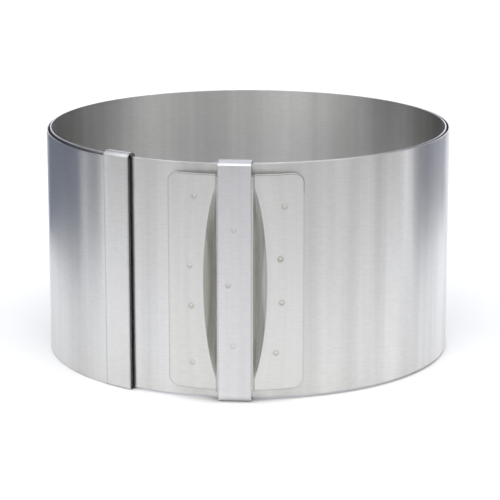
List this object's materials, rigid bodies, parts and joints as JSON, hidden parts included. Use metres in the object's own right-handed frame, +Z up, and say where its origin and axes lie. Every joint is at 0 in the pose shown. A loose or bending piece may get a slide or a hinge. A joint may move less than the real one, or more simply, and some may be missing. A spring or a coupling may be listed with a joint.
{
  "type": "adjustable cake ring",
  "caption": "Coiled stainless steel cake ring with a pressed grip plate, a guide strip and a sliding end clip; its overlap slides to change the diameter",
  "frame": {"origin": "middle of the footprint, 2.2 mm in front of the ring's axis, at the height of the surface that the ring stands on", "axes": "+Z up along the ring's axis; the grip faces -Y; +X to the right of the grip seen from the front"},
  "size_m": [0.1533, 0.1575, 0.0871],
  "materials": {
    "band_steel": "brushed",
    "pressed_steel": "brushed",
    "guide_steel": "brushed",
    "clip_steel": "brushed"
  },
  "bodies": {
    "grip": {"band_grip_span": "band_steel", "grip_plate": "pressed_steel", "guide_strip": "guide_steel"},
    "outer_span_01": {"band_outer_span_01": "band_steel"},
    "outer_span_02": {"band_outer_span_02": "band_steel"},
    "outer_span_03": {"band_outer_span_03": "band_steel"},
    "outer_span_04": {"band_outer_span_04": "band_steel"},
    "outer_span_05": {"band_outer_span_05": "band_steel"},
    "outer_span_06": {"band_outer_span_06": "band_steel"},
    "outer_span_07": {"band_outer_span_07": "band_steel"},
    "outer_span_08": {"band_outer_span_08": "band_steel"},
    "outer_span_09": {"band_outer_span_09": "band_steel"},
    "outer_span_10": {"band_outer_span_10": "band_steel"},
    "outer_span_11": {"band_outer_span_11": "band_steel"},
    "outer_span_12": {"band_outer_span_12": "band_steel"},
    "outer_span_13": {"band_outer_span_13": "band_steel", "outer_end_clip": "clip_steel"},
    "inner_span_01": {"band_inner_span_01": "band_steel"},
    "inner_span_02": {"band_inner_span_02": "band_steel"},
    "inner_span_03": {"band_inner_span_03": "band_steel"},
    "inner_span_04": {"band_inner_span_04": "band_steel"},
    "inner_span_05": {"band_inner_span_05": "band_steel"},
    "inner_span_06": {"band_inner_span_06": "band_steel"},
    "inner_span_07": {"band_inner_span_07": "band_steel"},
    "inner_span_08": {"band_inner_span_08": "band_steel"},
    "inner_span_09": {"band_inner_span_09": "band_steel"},
    "inner_span_10": {"band_inner_span_10": "band_steel"},
    "inner_span_11": {"band_inner_span_11": "band_steel"},
    "inner_span_12": {"band_inner_span_12": "band_steel"},
    "inner_span_13": {"band_inner_span_13": "band_steel"},
    "inner_span_14": {"band_inner_span_14": "band_steel"},
    "inner_span_15": {"band_inner_span_15": "band_steel"}
  },
  "joints": [
    {"name": "ring_opens", "type": "hinge", "parent": "grip", "child": "outer_span_01", "pos_m": [0.02662, -0.06899, 0.043], "axis": [0, 0, -1], "range_deg": [0, 14.82]},
    {"name": "outer_flex_02", "type": "hinge", "parent": "outer_span_01", "child": "outer_span_02", "pos_m": [0.05317, -0.05224, 0.043], "axis": [0, 0, -1], "range_deg": [0, 10.88]},
    {"name": "outer_flex_03", "type": "hinge", "parent": "outer_span_02", "child": "outer_span_03", "pos_m": [0.07071, -0.02616, 0.043], "axis": [0, 0, -1], "range_deg": [0, 10.87]},
    {"name": "outer_flex_04", "type": "hinge", "parent": "outer_span_03", "child": "outer_span_04", "pos_m": [0.07623, 0.00482, 0.043], "axis": [0, 0, -1], "range_deg": [0, 10.86]},
    {"name": "outer_flex_05", "type": "hinge", "parent": "outer_span_04", "child": "outer_span_05", "pos_m": [0.06876, 0.03543, 0.043], "axis": [0, 0, -1], "range_deg": [0, 10.85]},
    {"name": "outer_flex_06", "type": "hinge", "parent": "outer_span_05", "child": "outer_span_06", "pos_m": [0.04954, 0.06044, 0.043], "axis": [0, 0, -1], "range_deg": [0, 10.84]},
    {"name": "outer_flex_07", "type": "hinge", "parent": "outer_span_06", "child": "outer_span_07", "pos_m": [0.02182, 0.07558, 0.043], "axis": [0, 0, -1], "range_deg": [0, 10.82]},
    {"name": "outer_flex_08", "type": "hinge", "parent": "outer_span_07", "child": "outer_span_08", "pos_m": [-0.00969, 0.07823, 0.043], "axis": [0, 0, -1], "range_deg": [0, 10.81]},
    {"name": "outer_flex_09", "type": "hinge", "parent": "outer_span_08", "child": "outer_span_09", "pos_m": [-0.03962, 0.06792, 0.043], "axis": [0, 0, -1], "range_deg": [0, 10.8]},
    {"name": "outer_flex_10", "type": "hinge", "parent": "outer_span_09", "child": "outer_span_10", "pos_m": [-0.06287, 0.04637, 0.043], "axis": [0, 0, -1], "range_deg": [0, 10.79]},
    {"name": "outer_flex_11", "type": "hinge", "parent": "outer_span_10", "child": "outer_span_11", "pos_m": [-0.07544, 0.01723, 0.043], "axis": [0, 0, -1], "range_deg": [0, 10.78]},
    {"name": "outer_flex_12", "type": "hinge", "parent": "outer_span_11", "child": "outer_span_12", "pos_m": [-0.07518, -0.01454, 0.043], "axis": [0, 0, -1], "range_deg": [0, 10.77]},
    {"name": "outer_flex_13", "type": "hinge", "parent": "outer_span_12", "child": "outer_span_13", "pos_m": [-0.06209, -0.04353, 0.043], "axis": [0, 0, -1], "range_deg": [0, 10.76]},
    {"name": "inner_flex_01", "type": "hinge", "parent": "grip", "child": "inner_span_01", "pos_m": [-0.02662, -0.06899, 0.043], "axis": [0, 0, 1], "range_deg": [0, 14.69]},
    {"name": "inner_flex_02", "type": "hinge", "parent": "inner_span_01", "child": "inner_span_02", "pos_m": [-0.05254, -0.05259, 0.043], "axis": [0, 0, 1], "range_deg": [0, 10.66]},
    {"name": "inner_flex_03", "type": "hinge", "parent": "inner_span_02", "child": "inner_span_03", "pos_m": [-0.06984, -0.0273, 0.043], "axis": [0, 0, 1], "range_deg": [0, 10.67]},
    {"name": "inner_flex_04", "type": "hinge", "parent": "inner_span_03", "child": "inner_span_04", "pos_m": [-0.07573, 0.00273, 0.043], "axis": [0, 0, 1], "range_deg": [0, 10.68]},
    {"name": "inner_flex_05", "type": "hinge", "parent": "inner_span_04", "child": "inner_span_05", "pos_m": [-0.06926, 0.0326, 0.043], "axis": [0, 0, 1], "range_deg": [0, 10.7]},
    {"name": "inner_flex_06", "type": "hinge", "parent": "inner_span_05", "child": "inner_span_06", "pos_m": [-0.05152, 0.05745, 0.043], "axis": [0, 0, 1], "range_deg": [0, 10.71]},
    {"name": "inner_flex_07", "type": "hinge", "parent": "inner_span_06", "child": "inner_span_07", "pos_m": [-0.02544, 0.07324, 0.043], "axis": [0, 0, 1], "range_deg": [0, 10.72]},
    {"name": "inner_flex_08", "type": "hinge", "parent": "inner_span_07", "child": "inner_span_08", "pos_m": [0.00473, 0.07742, 0.043], "axis": [0, 0, 1], "range_deg": [0, 10.73]},
    {"name": "inner_flex_09", "type": "hinge", "parent": "inner_span_08", "child": "inner_span_09", "pos_m": [0.03406, 0.06933, 0.043], "axis": [0, 0, 1], "range_deg": [0, 10.74]},
    {"name": "inner_flex_10", "type": "hinge", "parent": "inner_span_09", "child": "inner_span_10", "pos_m": [0.05776, 0.05033, 0.043], "axis": [0, 0, 1], "range_deg": [0, 10.75]},
    {"name": "inner_flex_11", "type": "hinge", "parent": "inner_span_10", "child": "inner_span_11", "pos_m": [0.072, 0.02353, 0.043], "axis": [0, 0, 1], "range_deg": [0, 10.76]},
    {"name": "inner_flex_12", "type": "hinge", "parent": "inner_span_11", "child": "inner_span_12", "pos_m": [0.07448, -0.00668, 0.043], "axis": [0, 0, 1], "range_deg": [0, 10.77]},
    {"name": "inner_flex_13", "type": "hinge", "parent": "inner_span_12", "child": "inner_span_13", "pos_m": [0.06481, -0.03537, 0.043], "axis": [0, 0, 1], "range_deg": [0, 10.78]},
    {"name": "inner_flex_14", "type": "hinge", "parent": "inner_span_13", "child": "inner_span_14", "pos_m": [0.04461, -0.05787, 0.043], "axis": [0, 0, 1], "range_deg": [0, 10.79]},
    {"name": "inner_flex_15", "type": "hinge", "parent": "inner_span_14", "child": "inner_span_15", "pos_m": [0.01719, -0.07053, 0.043], "axis": [0, 0, 1], "range_deg": [0, 10.8]}
  ],
  "couplings": [
    {"joint": "outer_flex_02", "follows": "ring_opens", "ratio": 0.7341},
    {"joint": "outer_flex_03", "follows": "ring_opens", "ratio": 0.73336},
    {"joint": "outer_flex_04", "follows": "ring_opens", "ratio": 0.73261},
    {"joint": "outer_flex_05", "follows": "ring_opens", "ratio": 0.73186},
    {"joint": "outer_flex_06", "follows": "ring_opens", "ratio": 0.73111},
    {"joint": "outer_flex_07", "follows": "ring_opens", "ratio": 0.73037},
    {"joint": "outer_flex_08", "follows": "ring_opens", "ratio": 0.72962},
    {"joint": "outer_flex_09", "follows": "ring_opens", "ratio": 0.72888},
    {"joint": "outer_flex_10", "follows": "ring_opens", "ratio": 0.72814},
    {"joint": "outer_flex_11", "follows": "ring_opens", "ratio": 0.7274},
    {"joint": "outer_flex_12", "follows": "ring_opens", "ratio": 0.72666},
    {"joint": "outer_flex_13", "follows": "ring_opens", "ratio": 0.72592},
    {"joint": "inner_flex_01", "follows": "ring_opens", "ratio": 0.99149},
    {"joint": "inner_flex_02", "follows": "ring_opens", "ratio": 0.71944},
    {"joint": "inner_flex_03", "follows": "ring_opens", "ratio": 0.72016},
    {"joint": "inner_flex_04", "follows": "ring_opens", "ratio": 0.72088},
    {"joint": "inner_flex_05", "follows": "ring_opens", "ratio": 0.7216},
    {"joint": "inner_flex_06", "follows": "ring_opens", "ratio": 0.72232},
    {"joint": "inner_flex_07", "follows": "ring_opens", "ratio": 0.72304},
    {"joint": "inner_flex_08", "follows": "ring_opens", "ratio": 0.72376},
    {"joint": "inner_flex_09", "follows": "ring_opens", "ratio": 0.72449},
    {"joint": "inner_flex_10", "follows": "ring_opens", "ratio": 0.72521},
    {"joint": "inner_flex_11", "follows": "ring_opens", "ratio": 0.72594},
    {"joint": "inner_flex_12", "follows": "ring_opens", "ratio": 0.72667},
    {"joint": "inner_flex_13", "follows": "ring_opens", "ratio": 0.72739},
    {"joint": "inner_flex_14", "follows": "ring_opens", "ratio": 0.72812},
    {"joint": "inner_flex_15", "follows": "ring_opens", "ratio": 0.72885}
  ]
}
